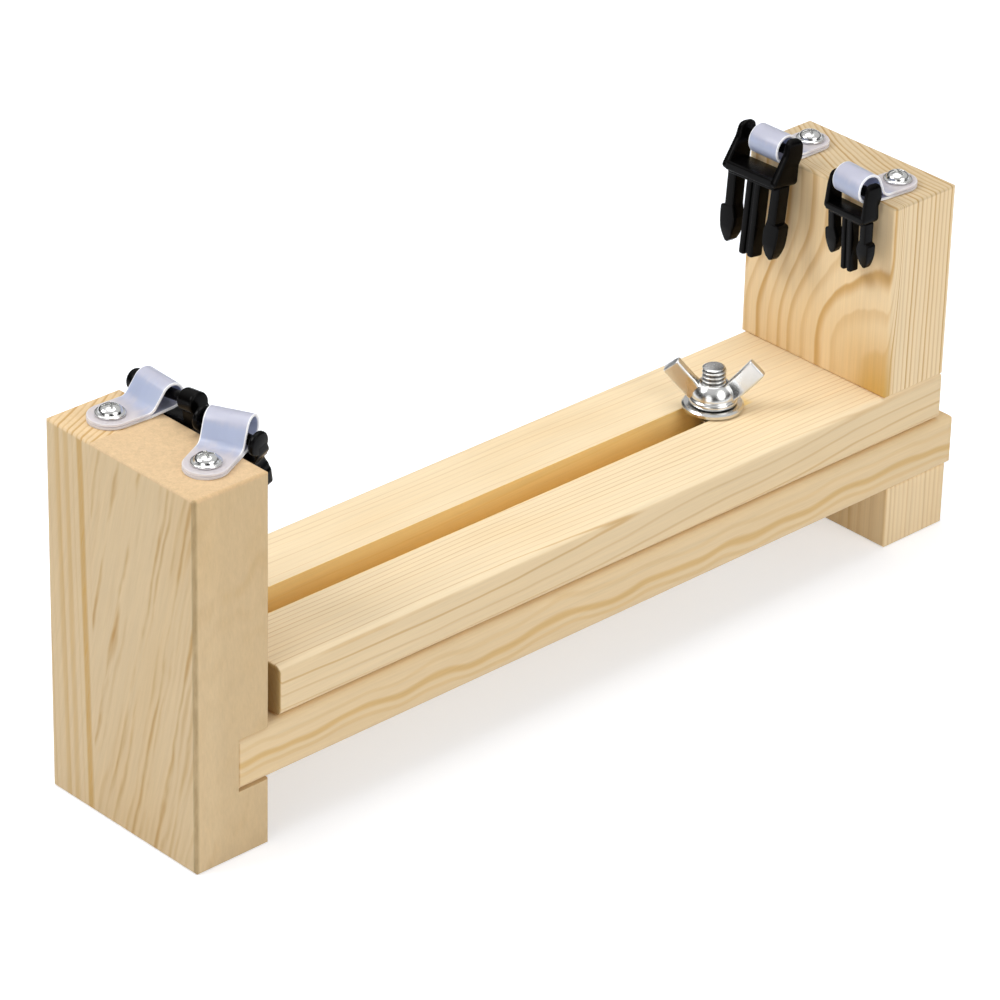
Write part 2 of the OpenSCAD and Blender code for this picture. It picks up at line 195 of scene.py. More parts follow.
def upright_bar(z_top, z_foot, low, high, corner, end_r, step=0.5):
    """Loft down Z: low(z) and high(z) give the two corners [x, y] of its rounded section at each height."""
    length = z_top - z_foot
    d = stations(length, step, end_r)
    z = z_top - d
    lo, hi = np.stack(low(z), -1), np.stack(high(z), -1)
    cut = end_shrink(d, length, end_r)
    mid = (lo + hi) / 2
    path = np.column_stack([mid, z])
    half = np.maximum((hi - lo) / 2 - cut[:, None], LEAST)
    return skin(rounded_rings(path, [1, 0, 0], [0, 1, 0], half[:, 0], half[:, 1], corner))


def cross_bar(y0, y1, centre, half_x, half_z, corner, end_r, step=0.7):
    """Loft along Y with one rounded section of half sizes half_x and half_z about centre [x, z]."""
    length = y1 - y0
    d = stations(length, step, end_r)
    cut = end_shrink(d, length, end_r)
    path = np.column_stack([np.full(len(d), centre[0]), y0 + d, np.full(len(d), centre[1])])
    hx, hz = np.maximum(half_x - cut, LEAST), np.maximum(half_z - cut, LEAST)
    return skin(rounded_rings(path, [1, 0, 0], [0, 0, 1], hx, hz, corner, 7))


def lathe(radius, height, columns):
    """Surface of revolution about Z: radius and height by row, or radius as a grid [row, column]."""
    angle = np.linspace(0, 2 * np.pi, columns, endpoint=False)
    radius = np.asarray(radius, float)
    radius = radius[:, None] if radius.ndim == 1 else radius
    height = np.asarray(height, float)
    height = height[:, None] if height.ndim == 1 else height
    x, y = radius * np.cos(angle), radius * np.sin(angle)
    return np.stack([x, y, np.broadcast_to(height, x.shape)], -1)


def piece(name, parts, material, body, replaced, sharp=40):
    """One object from several closed surfaces in millimetres, on its body, for the nodes it replaces."""
    points, faces, offset = [], [], 0
    for p, f in parts:
        f = outward(p, f)
        points.append(p)
        faces += [g + offset for g in f]
        offset += len(p)
    mesh = bpy.data.meshes.new(name)
    mesh.from_pydata((np.vstack(points) * MM).tolist(), [], [row for f in faces for row in f.tolist()])
    welded = bmesh.new()
    welded.from_mesh(mesh)
    bmesh.ops.remove_doubles(welded, verts=welded.verts, dist=WELD)
    welded.to_mesh(mesh)
    welded.free()
    mesh.update()
    mesh.polygons.foreach_set("use_smooth", np.ones(len(mesh.polygons), bool))
    mesh.set_sharp_from_angle(angle=math.radians(sharp))
    if mesh.validate():
        raise RuntimeError(name + " has faulty faces")
    obj = bpy.data.objects.new(name, mesh)
    bpy.context.scene.collection.objects.link(obj)
    mesh.materials.append(material)
    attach(obj, body)
    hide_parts(*replaced)
    return obj


def moved(part, matrix, origin):
    """A surface turned by a matrix and set down at an origin."""
    points, faces = part
    return points @ np.asarray(matrix).T + np.asarray(origin, float), faces


# Shader expressions

class Term:
    """A shader socket that takes part in Python expressions; each operator adds one Math node."""

    def __init__(self, look, socket):
        self.look, self.socket = look, socket

    def math(self, operation, *others):
        """One Math node on this value and the others."""
        return self.look.node("ShaderNodeMath", {"operation": operation}, [self, *others])

    def __add__(self, other):
        return self.math("ADD", other)

    def __radd__(self, other):
        return self.math("ADD", other)

    def __sub__(self, other):
        return self.math("SUBTRACT", other)

    def __rsub__(self, other):
        return self.look.node("ShaderNodeMath", {"operation": "SUBTRACT"}, [other, self])

    def __mul__(self, other):
        return self.math("MULTIPLY", other)

    def __rmul__(self, other):
        return self.math("MULTIPLY", other)

    def __truediv__(self, other):
        return self.math("DIVIDE", other)

    def __rtruediv__(self, other):
        return self.look.node("ShaderNodeMath", {"operation": "DIVIDE"}, [other, self])

    def __pow__(self, other):
        return self.math("POWER", other)

    def __abs__(self):
        return self.math("ABSOLUTE")

    def step(self, a, b):
        """0 at a and before, 1 at b and past it, smooth between; a may be larger than b."""
        settings = {"interpolation_type": "SMOOTHSTEP", "clamp": True}
        lo, hi, u, v = (a, b, 0.0, 1.0) if a < b else (b, a, 1.0, 0.0)
        inputs = {"Value": self, "From Min": lo, "From Max": hi, "To Min": u, "To Max": v}
        return self.look.node("ShaderNodeMapRange", settings, inputs)


class Look:
    """One node material, or the world: node() adds any node, and the short methods add the common ones."""

    def __init__(self, name, kind="materials"):
        self.owner = getattr(bpy.data, kind).new(name)
        self.owner.use_nodes = True
        self.tree = self.owner.node_tree
        self.tree.nodes.clear()

    def node(self, kind, settings=None, inputs=None, out=0):
        """Any node: its type, its settings, the values or links of its inputs and the output used."""
        made = self.tree.nodes.new(kind)
        for key, value in (settings or {}).items():
            setattr(made, key, value)
        pairs = enumerate(inputs) if isinstance(inputs, list) else (inputs or {}).items()
        for key, value in pairs:
            socket = made.inputs[key]
            if isinstance(value, Term):
                self.tree.links.new(value.socket, socket)
            else:
                socket.default_value = value
        return Term(self, made.outputs[out]) if len(made.outputs) else None

    def place(self, turn=(0, 0, 0), about=(0, 0, 0)):
        """Object coordinates in millimetres, turned by degrees, with the point about as their origin."""
        angles = tuple(math.radians(a) for a in turn)
        shift = -(Euler(angles).to_matrix() @ Vector(about))
        coords = self.node("ShaderNodeTexCoord", out="Object")
        return self.node("ShaderNodeMapping", {}, {"Vector": coords, "Location": shift, "Rotation": angles,
                                                   "Scale": (1 / MM,) * 3})

    def stretch(self, vector, scale):
        """A vector times another, axis by axis."""
        return self.node("ShaderNodeVectorMath", {"operation": "MULTIPLY"}, [vector, scale])

    def split(self, vector):
        """The three parts of a vector."""
        return self.outputs(self.node("ShaderNodeSeparateXYZ", {}, [vector]), 0, 1, 2)

    def outputs(self, term, *names):
        """Several outputs of the node that a term comes from."""
        return [Term(self, term.socket.node.outputs[name]) for name in names]

    def noise(self, vector, scale=1.0, detail=2.0, rough=0.5, twist=0.0):
        """Noise about 0, from -0.5 to 0.5."""
        return self.node("ShaderNodeTexNoise", {}, {"Vector": vector, "Scale": scale, "Detail": detail,
                                                    "Roughness": rough, "Distortion": twist}) - 0.5

    def mix(self, share, a, b):
        """Colour a, with a share of colour b."""
        settings = {"data_type": "RGBA", "clamp_factor": True}
        return self.node("ShaderNodeMix", settings, {0: share, 6: a, 7: b}, out=2)

    def scaled(self, colour, factor):
        """A colour made lighter or darker."""
        settings = {"operation": "SCALE"}
        return self.node("ShaderNodeVectorMath", settings, {"Vector": colour, "Scale": factor})

    def bump(self, height, depth, strength=1.0):
        """Normal of a relief of the given depth, in metres."""
        return self.node("ShaderNodeBump", {}, {"Strength": strength, "Distance": depth, "Height": height})

    def finish(self, **sockets):
        """Close the material with a Principled shader and give it back."""
        inputs = {key.replace("_", " "): value for key, value in sockets.items()}
        shader = self.node("ShaderNodeBsdfPrincipled", {}, inputs)
        self.node("ShaderNodeOutputMaterial", {}, {"Surface": shader})
        return self.owner


def rgb(colour):
    """A colour as the four numbers of a socket."""
    return (colour[0], colour[1], colour[2], 1.0)


def from_bytes(r, g, b):
    """Linear colour of an 8-bit screen colour."""
    def one(v):
        v /= 255.0
        return v / 12.92 if v <= 0.04045 else ((v + 0.055) / 1.055) ** 2.4
    return (one(r), one(g), one(b))


# Settings

class JigWood(bpy.types.PropertyGroup):
    """Colours and growth of the pine."""
    early: bpy.props.FloatVectorProperty(
        name="Early wood", description="Pale wood between the growth lines",
        subtype="COLOR", size=3, min=0, max=1, default=from_bytes(246, 219, 175))
    late: bpy.props.FloatVectorProperty(
        name="Late wood", description="Darker wood of the growth lines",
        subtype="COLOR", size=3, min=0, max=1, default=from_bytes(205, 158, 88))
    cream: bpy.props.FloatVectorProperty(
        name="Sapwood", description="Palest patches",
        subtype="COLOR", size=3, min=0, max=1, default=from_bytes(250, 231, 196))
    honey: bpy.props.FloatVectorProperty(
        name="Resin wood", description="Warm resinous patches and streaks",
        subtype="COLOR", size=3, min=0, max=1, default=from_bytes(221, 174, 92))
    ring: bpy.props.FloatProperty(
        name="Ring width", description="Usual width of one year's growth",
        unit="LENGTH", min=0.0005, max=0.01, default=0.0022)


class JigMetal(bpy.types.PropertyGroup):
    """Sizes and colour of the zinc hardware."""
    zinc: bpy.props.FloatVectorProperty(
        name="Zinc", description="Bright zinc plating",
        subtype="COLOR", size=3, min=0, max=1, default=(0.72, 0.72, 0.71))
    pitch: bpy.props.FloatProperty(
        name="Thread pitch", description="Rise of the bolt thread in one turn",
        unit="LENGTH", min=0.0005, max=0.002, default=0.0013)
    depth: bpy.props.FloatProperty(
        name="Thread depth", description="Crest to root of the bolt thread",
        unit="LENGTH", min=0.0001, max=0.001, default=0.0007)
    recess: bpy.props.FloatProperty(
        name="Cross recess", description="Depth of the cross in the clip screws",
        unit="LENGTH", min=0.0005, max=0.002, default=0.0015)


class JigPlastic(bpy.types.PropertyGroup):
    """Colours and rounding of the clips and buckles."""
    milk: bpy.props.FloatVectorProperty(
        name="Nylon", description="Milky nylon of the clips",
        subtype="COLOR", size=3, min=0, max=1, default=from_bytes(205, 206, 223))
    black: bpy.props.FloatVectorProperty(
        name="Black plastic", description="Moulded buckle halves",
        subtype="COLOR", size=3, min=0, max=1, default=(0.0017, 0.0015, 0.0015))
    edge: bpy.props.FloatProperty(
        name="Edge rounding", description="Rounding of the moulded edges",
        unit="LENGTH", min=0.0001, max=0.001, default=0.00045)


class JigStage(bpy.types.PropertyGroup):
    """Light and floor."""
    floor: bpy.props.FloatVectorProperty(
        name="Floor", description="Pale floor",
        subtype="COLOR", size=3, min=0, max=1, default=(0.775, 0.80, 0.85))
    key: bpy.props.FloatProperty(
        name="Key light", description="Power of the lamp on the far left",
        unit="POWER", min=0, max=500, default=14.0)
    fill: bpy.props.FloatProperty(
        name="Fill light", description="Power of the large lamp on the near side",
        unit="POWER", min=0, max=500, default=15.0)
    side: bpy.props.FloatProperty(
        name="Side light", description="Power of the low lamp beyond the fixed post",
        unit="POWER", min=0, max=500, default=4.5)
    top: bpy.props.FloatProperty(
        name="Top light", description="Power of the overhead lamp",
        unit="POWER", min=0, max=500, default=14.0)


# Finishes

class Grain:
    """Growth rings of one piece of pine about a pith line along the turned Z axis.

    Ring number = (distance from the pith + wave x slow noise + ripple x small noise) / ring width. dark
    rises from the share soft of each ring to the share fall and drops back after it, by an amount that
    differs from year to year by up to 1 - even. fibre, pores, tone and streak are noises drawn out along the
    pith.
    bow (lean, start, stop, face) moves the pith away from the face at that x by lean between two heights,
    within 5 mm of the face.
    """

    def __init__(self, look, turn, pith, ring, wave=2.0, ripple=0.8, even=0.35, soft=0.3, fall=0.87,
                 bow=None):
        q = look.place(turn, pith)
        x, y, z = look.split(q)

        def drawn(across, along, detail, rough=0.5):
            """Noise with its scales across and along the pith, per millimetre."""
            return look.noise(look.stretch(q, (across, across, along)), 1.0, detail, rough)

        if bow:
            lean, start, stop, face = bow
            x = x - z.step(start, stop) * lean * x.step(face + 5.0, face + 1.0)
        slow = drawn(0.028, 0.009, 1.0)
        small = drawn(0.16, 0.04, 2.0)
        count = ((x * x + y * y) ** 0.5 + slow * (2.0 * wave) + small * ripple) / ring
        share = count.math("FRACT")
        year = look.node("ShaderNodeTexWhiteNoise", {"noise_dimensions": "1D"}, {"W": count.math("FLOOR")})
        self.dark = share.step(soft, fall - 0.01) * share.step(1.0, fall) * (year * (1.0 - even) + even)
        self.fibre = drawn(1.9, 0.045, 3.0, 0.6)
        self.pores = drawn(5.5, 0.22, 2.0, 0.6)
        self.tone = drawn(0.035, 0.011, 2.0)
        self.streak = drawn(0.55, 0.014, 2.0, 0.6)


def pine(look, wood, grain, line=0.8, cream=0.2, marks=None):
    """Planed pine: pale wood, darker rings, fibres in colour, gloss and relief, and a few flecks.

    line is the strength of the rings, and cream the share of the palest wood. marks adds a piece's own
    tints.
    """
    base = look.mix(grain.tone * 0.9 + cream, rgb(wood.early), rgb(wood.cream))
    base = look.mix(grain.tone.step(0.0, -0.35) * 0.16, base, rgb(wood.honey))
    colour = look.mix(grain.dark * line, base, rgb(wood.late))
    if marks:
        colour = marks(colour)
    flecks = grain.pores.step(0.16, 0.36)
    colour = look.scaled(colour, 1.0 + grain.fibre * 0.17 + grain.streak * 0.13 - flecks * 0.10)
    rough = 0.55 + grain.fibre * 0.16 - grain.dark * 0.06
    height = grain.fibre * 0.6 + grain.dark * 0.04 - grain.pores.step(0.12, 0.4) * 0.5
    return look.finish(Base_Color=colour, Roughness=rough, Specular_IOR_Level=0.25,
                       Normal=look.bump(height, 0.12 * MM, 0.5))


def band(value, centre, half, soft):
    """1 where a value lies within half of a centre, falling to 0 over soft."""
    return abs(value - centre).step(half + soft, half)


def zinc(name, metal, direction, rough, duller=None, painted_root_shade=None):
    """Bright zinc: fine drawn scratches, faint cloudiness and small dull spots.

    direction scales the scratches along each axis. duller (near, far, gain) adds gain to the roughness
    between two distances from the bolt's axis. roots (crest, root, top) paints shade into a thread: darker
    from the radius of its crest to that of its root, below the height top.
    """
    look = Look(name)
    q = look.place()
    drawn = look.noise(look.stretch(q, direction), 6.0, 3.0, 0.65)
    cloud = look.noise(q, 0.35, 3.0, 0.55)
    spots = look.noise(q, 2.6, 2.0).step(0.20, 0.34)
    colour = look.mix(cloud.step(0.05, 0.4) * 0.45, rgb(metal.zinc), (0.54, 0.55, 0.54, 1.0))
    colour = look.scaled(colour, 1.0 + drawn * 0.12 - spots * 0.12)
    shine = rough + drawn * 0.10 + spots * 0.12 + cloud * 0.06
    x, y, z = look.split(q)

    def from_axis():
        """Distance from the bolt's axis."""
        along = x - BOLT_X
        return (along * along + y * y) ** 0.5

    if duller:
        near, far, gain = duller
        shine = shine + from_axis().step(near, far) * gain
    # Painted shade in the grooves of the thread.
    if painted_root_shade:
        crest, root, top = painted_root_shade
        colour = look.scaled(colour, 1.0 - from_axis().step(crest, root) * z.step(top, top - 0.1) * 0.75)
    return look.finish(Base_Color=colour, Metallic=1.0, Roughness=shine,
                       Normal=look.bump(drawn + spots * 0.4, 0.04 * MM, 0.5))


def nylon(name, plastic, clip):
    """Milky nylon of one clip: bluish round the loop with painted shade of the bar behind, warmer on the
    flat tab, and a white painted highlight with a faint glow along its cut edges.
    """
    look = Look(name)
    q = look.place((0.0, 0.0, -clip["turn"]), (*clip["screw"], POST_TOP))
    u, v, up = look.split(q)
    flow = look.noise(look.stretch(q, (0.16, 0.5, 0.16)), 1.0, 3.0, 0.55)
    colour = look.mix((u + flow * 6.0).step(3.0, 10.0), rgb(from_bytes(241, 233, 237)), rgb(plastic.milk))
    # Painted shade: a darker bluish band across the middle of the loop, where the bar behind shows through.
    painted_bar_shade = band(up + flow * 3.0, 4.6, 1.2, 2.2) * u.step(4.0, 9.0) * 0.6
    colour = look.mix(painted_bar_shade, colour, rgb(from_bytes(176, 192, 226)))
    tab = u.math("MINIMUM", 0.0)
    flat = u.step(9.0, 5.0)
    half = clip["width"] / 2
    # Painted highlight: the cut edges are made white and given a faint glow.
    rim = ((tab * tab + v * v) ** 0.5).step(half - 0.5, half - 0.2) * (1.0 - flat * 0.6)
    colour = look.scaled(look.mix(rim, colour, (0.96, 0.96, 0.97, 1.0)), 1.0 + flow * 0.08)
    glow = look.mix(rim, (0.0, 0.0, 0.0, 1.0), (0.16, 0.16, 0.17, 1.0))
    return look.finish(Base_Color=colour, Roughness=0.30 + flow * 0.12, Alpha=0.97 - flat * 0.2,
                       Transmission_Weight=0.15, IOR=1.5, Subsurface_Weight=0.4, Subsurface_Scale=1.0,
                       Subsurface_Radius=(1.6 * MM, 1.6 * MM, 1.8 * MM), Emission_Color=glow,
                       Emission_Strength=1.0, Normal=look.bump(flow, 0.06 * MM, 0.4))


def black_plastic(name, plastic):
    """Black moulded plastic with a satin grain and slightly paler worn spots."""
    look = Look(name)
    q = look.place()
    grain = look.noise(q, 5.5, 3.0, 0.6)
    handled = look.noise(q, 0.22, 3.0, 0.6)
    colour = look.mix(handled.step(0.02, 0.34) * 0.6, rgb(plastic.black), (0.0045, 0.0045, 0.0045, 1.0))
    return look.finish(Base_Color=colour, Roughness=0.19 + handled * 0.16 + grain * 0.06,
                       Specular_IOR_Level=0.08, Normal=look.bump(grain, 0.03 * MM, 0.6))


def dress(node, material):
    """Give a CAD node its finish."""
    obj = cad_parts[node]
    obj.data.materials.clear()
    obj.data.materials.append(material)


# Hardware shapes

def loop_height(loop_r):
    """Height of the middle of a loop, where the strap that rises from the fold meets its outside."""
    outer = loop_r + STRAP_THICK
    run = STRAP_REACH - STRAP_FOLD + outer * math.sin(STRAP_RISE)
    return run * math.tan(STRAP_RISE) + outer * math.cos(STRAP_RISE)


def strap_line(loop_r, tab):
    """Centre line of a clip in its own [out, up] plane, with points closest together at both ends.

    A lower tab, a strap that rises, an arc round the loop, an arc that bends down and an upper tab on the
    lower one. Both tabs end at the distance tab past the screw.
    """
    middle, bend_r = loop_r + STRAP_THICK / 2, 3.0
    lower, upper = STRAP_THICK / 2, 1.5 * STRAP_THICK + 0.05
    loop_c = np.array([STRAP_REACH, loop_height(loop_r)])
    bend_c = np.array([STRAP_BEND, upper + bend_r])
    v = loop_c - bend_c
    lift = math.atan2(v[1], v[0]) + math.asin((bend_r + middle) / np.linalg.norm(v))
    a = np.linspace(STRAP_RISE - math.pi / 2, lift + math.pi / 2, 90)
    b = np.linspace(lift - math.pi / 2, -math.pi / 2, 24)
    line = np.vstack([[[-tab, lower], [STRAP_FOLD - lower * math.tan(STRAP_RISE / 2), lower]],
                      loop_c + middle * np.column_stack([np.cos(a), np.sin(a)]),
                      bend_c + bend_r * np.column_stack([np.cos(b), np.sin(b)]), [[-tab, upper]]])
    gone = np.concatenate([[0], np.cumsum(np.linalg.norm(np.diff(line, axis=0), axis=1))])
    stretch = 2.5
    close = np.linspace(0, stretch, 30) ** 2 / stretch
    at = np.unique(np.concatenate([np.linspace(0, gone[-1], 260), close, gone[-1] - close]))
    return np.column_stack([np.interp(at, gone, line[:, 0]), np.interp(at, gone, line[:, 1])])


def clip_strap(loop_r, width):
    """Nylon strap: a flat rounded section along the centre line, with round tab ends about the screw."""
    line = strap_line(loop_r, width / 2)
    tangent = np.gradient(line, axis=0)
    tangent /= np.linalg.norm(tangent, axis=1)[:, None]
    normal = np.column_stack([-tangent[:, 1], np.zeros(len(line)), tangent[:, 0]])
    half = np.sqrt(np.maximum(width ** 2 / 4 - np.minimum(line[:, 0], 0) ** 2, LEAST ** 2))
    path = np.column_stack([line[:, 0], np.zeros(len(line)), line[:, 1]])
    slim = np.minimum(STRAP_THICK * 0.42, half)
    return skin(rounded_rings(path, [0, 1, 0], normal, half, slim, STRAP_THICK * 0.3, 4))


def clip_place(clip):
    """Matrix and origin of a clip: its screw on the post top, its loop along the turned X."""
    return turn_z(clip["turn"]), np.array([*clip["screw"], POST_TOP])


def bar_place(clip, shift=0.0, lift=0.0):
    """Matrix and origin of the bar that hangs in a clip's loop, moved out by shift and up by lift."""
    m, o = clip_place(clip)
    up = loop_height(clip["loop"]) - (clip["loop"] - BAR_R - BAR_GAP)
    return m, o + m @ np.array([STRAP_REACH + shift, 0, up + lift])


def clip_screw_shape(recess, turn):
    """Washer-head screw, turned: a dome with a tapered cross in it, a rounded flange and a thin shank.

    The dome is half an ellipse over the flange, less the deeper of the two arms of the cross.
    """
    columns = 168
    flange, dome_r, dome_rise = 0.85, 3.36, 1.9
    cross_half, cross_reach, cross_wall = 0.62, 2.25, 0.16
    angle = np.linspace(0, 2 * np.pi, columns, endpoint=False) + math.radians(turn)
    r = np.concatenate([np.linspace(0.03, 2.5, 40), np.linspace(2.5, dome_r - 0.01, 14)[1:]])
    dome = flange + dome_rise * np.sqrt(np.maximum(0, 1 - (r / dome_r) ** 2))
    a, b = np.abs(r[:, None] * np.cos(angle)), np.abs(r[:, None] * np.sin(angle))

    def arm(along, across):
        """Share of the depth in one arm: less toward its end, none past its walls and its end."""
        half = cross_half - 0.10 * along
        inside = smooth(half, half - cross_wall, across) * smooth(cross_reach, cross_reach - 0.4, along)
        return inside * (1 - 0.14 * along)

    sunk = np.maximum(arm(a, b), arm(b, a)) * recess
    heights = dome[:, None] - sunk
    rim = np.array([(3.42, 0.83), (3.60, 0.79), (3.85, 0.75), (4.05, 0.68), (4.16, 0.56), (4.20, 0.42),
                    (4.20, 0.24), (4.14, 0.08), (4.0, 0.0)])
    shank = np.array([(1.9, 0.0), (1.8, -0.3), (1.8, -10.5), (0.9, -12.4), (0.05, -14.0)])
    below = np.vstack([rim, shank])
    rows_r = np.concatenate([r, below[:, 0]])
    rows_z = np.vstack([heights, np.broadcast_to(below[:, 1:], (len(below), columns))])
    return skin(lathe(rows_r, rows_z, columns))


def bolt_shape(pitch, depth):
    """Carriage bolt: domed head, plain shank, and a helical thread with a cut top.

    The turn of the thread at a height z and an angle is z / pitch - angle / 2 pi. The radius falls by depth
    times (1 - cosine of that turn) / 2, and is drawn in under the top.
    """
    columns = 72
    head_r, head_rise, thread_foot = 7.4, 2.9, 38.2
    angle = np.linspace(0, 2 * np.pi, columns, endpoint=False)
    a = np.radians(np.linspace(0.5, 90, 14))
    low_r = np.concatenate([head_r * np.sin(a), [head_r, head_r - 0.2, BOLT_R + 0.05, BOLT_R, BOLT_R]])
    low_z = np.concatenate([-0.5 - head_rise * np.cos(a), [-0.15, 0.0, 0.0, 0.2, 18.0]]) + BASE_UNDER
    z = np.arange(thread_foot, BOLT_TOP - 0.25, pitch / 14)
    turn = (z[:, None] / pitch - angle[None] / (2 * np.pi)) % 1.0
    groove = (1 - np.cos(2 * np.pi * turn)) / 2
    start = smooth(thread_foot, thread_foot + 1.4, z)[:, None]
    crest = np.minimum(BOLT_R, BOLT_R - 0.52 + (BOLT_TOP - z) * 1.15)[:, None]
    radius = np.minimum(BOLT_R - depth * groove * start, crest)
    top = np.array([(3.05, -0.18), (2.92, -0.10), (2.5, -0.06), (1.5, -0.02), (0.6, 0.0), (0.03, 0.0)])
    flat = np.ones(columns)
    radii = np.vstack([low_r[:, None] * flat, radius, top[:, :1] * flat])
    return skin(lathe(radii, np.concatenate([low_z, z, top[:, 1] + BOLT_TOP]), columns))


def nut_hub_shape():
    """Hub of the wing nut: a closed profile [radius, height] of bore, flange, waist and dome about Z."""
    bore = [(3.56, 3.0), (3.57, 0.4), (3.9, 0.0)]
    flange = [(6.55, 0.0), (6.95, 0.10), (7.08, 0.34), (7.10, 0.80), (7.02, 1.24), (6.78, 1.56)]
    waist = [(6.52, 1.78), (6.42, 2.02), (6.40, 2.34)]
    dome = [(6.30, 2.84), (6.12, 3.42), (5.86, 4.04), (5.52, 4.66), (5.12, 5.22), (4.78, 5.66),
            (4.50, 5.94), (4.32, 6.10)]
    mouth = [(4.16, 6.18), (3.98, 6.18), (3.72, 5.98), (3.57, 5.70), (3.56, 3.0)]
    profile = np.array(bore + flange + waist + dome + mouth)
    return skin(lathe(profile[:, 0], profile[:, 1], 96), closed_ends=False)


def nut_wing_shape(twist=13.0, lean=47.0):
    """One wing: a rounded section led out and up from the hub, thick at the root, square at its tip."""
    length, tip_r = 12.6, 0.55
    root = np.array([4.3, 0, 2.6])
    d = stations(length, 0.35, tip_r)
    share = d / length
    half_w = 2.75 + 0.20 * smooth(0.1, 0.5, share)
    half_t = 1.5 + 1.0 * (1 - smooth(0.0, 0.42, share)) - 0.06 * smooth(0.5, 1.0, share)
    cut = end_shrink(d, length, tip_r)
    sag = -0.25 * np.sin(np.pi * share)
    path = np.column_stack([d - 0.6, np.zeros(len(d)), sag])
    rings = rounded_rings(path, [0, 0, 1], [0, 1, 0], half_w - cut, half_t - cut, 0.7, 7)
    return moved(skin(rings), turn_y(-lean) @ turn_x(-twist), root)


# Buckle shapes

def plug_shape(width, lug, top, foot, rail, back, top_depth, foot_depth, arm_length, neck, arm_width, head,
               arm_out, guide_width, guide_length, depth, edge):
    """Plug half about its bar, in rounded lofts: lugs, rail, bar, two barbed arms and a grooved guide.

    The frame reaches from top down to -foot, and from -back to top_depth and foot_depth across. An arm has
    a straight neck, then a barb that stands out by head and runs to its tip along a quarter ellipse. It
    stands out past the frame by arm_out. Arms and guide are depth thick.
    """
    half = width / 2
    inner, mid = half - lug, (foot_depth - back) / 2
    under = -foot - 0.8
    root = under + 0.8
    half_arm = arm_width / 2

    def outer_y(z):
        """Outer side of a lug, drawn in at both ends."""
        heights = [-foot, -foot + 0.5, -foot + 1.4, -1, top - 1.4, top - 0.4, top]
        inset = np.array([0.7, 0.2, 0.0, 0.2, 0.4, 0.8, 1.2])
        return eased_line(z, heights, half - inset)

    def x_low(z):
        """Back of a lug, fuller about the bar and rounded at the top."""
        heights = [-foot, -foot + 0.8, -3.6, -1.8, top - 3.8, top - 2.3, top - 1.1, top - 0.3, top]
        return eased_line(z, heights, [-back + 0.6, -back, -back, -2.8, -3.0, -2.95, -2.6, -1.9, -0.9])

    def x_high(z):
        """Front of a lug, sloping back from the rail to the top."""
        heights = [-foot, -foot + 0.8, -foot + rail * 0.5, -0.5, top - 2.4, top - 1, top - 0.3, top]
        return eased_line(z, heights, [foot_depth - 0.6, foot_depth, foot_depth, top_depth + 0.3,
                                       top_depth - 0.1, top_depth - 0.5, top_depth - 1.1, top_depth - 1.9])

    a = np.radians(12.5 * np.arange(1, 8))
    shoulder = neck + 0.5
    out_z = np.concatenate([[1.0, -neck + 0.4, -neck, -shoulder],
                            -shoulder - (arm_length - shoulder) * np.sin(a)])
    out_y = np.concatenate([[half_arm, half_arm - 0.2, half_arm + head - 0.3, half_arm + head],
                            (half_arm + head) * np.cos(a)])
    b = np.radians(22.5 * np.arange(0, 5))
    in_z = np.concatenate([[-arm_length], -arm_length + 0.5 + (arm_length - neck) * 0.7 * (1 - np.cos(b)),
                           [-neck + 1, 1.0]])
    in_y = np.concatenate([[-0.4], -0.8 - (half_arm + 0.6) * np.sin(b), [-half_arm - 0.3, -half_arm]])
    centre = half + arm_out - head - half_arm

    def arm_out_y(z):
        """Outer side of an arm."""
        return centre + np.interp(under - z, -out_z, out_y)

    def arm_in_y(z):
        """Inner side of an arm."""
        return centre + np.interp(z - under, in_z, in_y)

    def arm_half(z):
        """Half the thickness of an arm, thinner over the last 5 mm."""
        return depth / 2 * (1 - 0.35 * smooth(under - arm_length + 5, under - arm_length, z))

    def flat(value):
        """A side that keeps its place."""
        return lambda z: np.full_like(z, value)

    def sided(s, x0, x1, y0, y1, z0, z1, corner, end_r, step):
        """One upright loft on the side s: x from x0 to x1, distance from the middle from y0 to y1."""
        low = (lambda z: (x0(z), y0(z))) if s > 0 else (lambda z: (x0(z), -y1(z)))
        high = (lambda z: (x1(z), y1(z))) if s > 0 else (lambda z: (x1(z), -y0(z)))
        return upright_bar(z0, z1, low, high, corner, end_r, step)

    parts = []
    for s in (-1, 1):
        parts.append(sided(s, x_low, x_high, flat(inner), outer_y, top, -foot, edge * 1.5, edge, 0.2))
        parts.append(sided(s, lambda z: mid - arm_half(z), lambda z: mid + arm_half(z), arm_in_y, arm_out_y,
                           root, under - arm_length, edge, edge, 0.12))
        parts.append(sided(s, flat(mid - depth / 2), flat(mid + depth / 2), flat(0.13 * guide_width),
                           flat(guide_width / 2), root, under - guide_length, edge, edge * 1.6, 0.5))
    web = guide_width / 2 - 0.3
    web_back, web_front = flat(mid - depth / 2 + 0.1), flat(mid + depth * 0.36)
    parts.append(upright_bar(root, under - guide_length + 0.5, lambda z: (web_back(z), flat(-web)(z)),
                             lambda z: (web_front(z), flat(web)(z)), edge, edge))
    half_rail = (foot_depth + back) / 2
    parts.append(cross_bar(-inner - 0.7, inner + 0.7, (mid, -foot + rail / 2), half_rail, rail / 2,
                           edge * 1.5, 0.2))
    parts.append(cross_bar(-half + 1.6, half - 1.6, (mid, -foot - 0.45), half_rail - 1.2, 0.6, edge, edge))
    parts.append(cross_bar(-inner - 0.6, inner + 0.6, (0, 0), BAR_R, BAR_R, BAR_R, 0.1))
    return parts


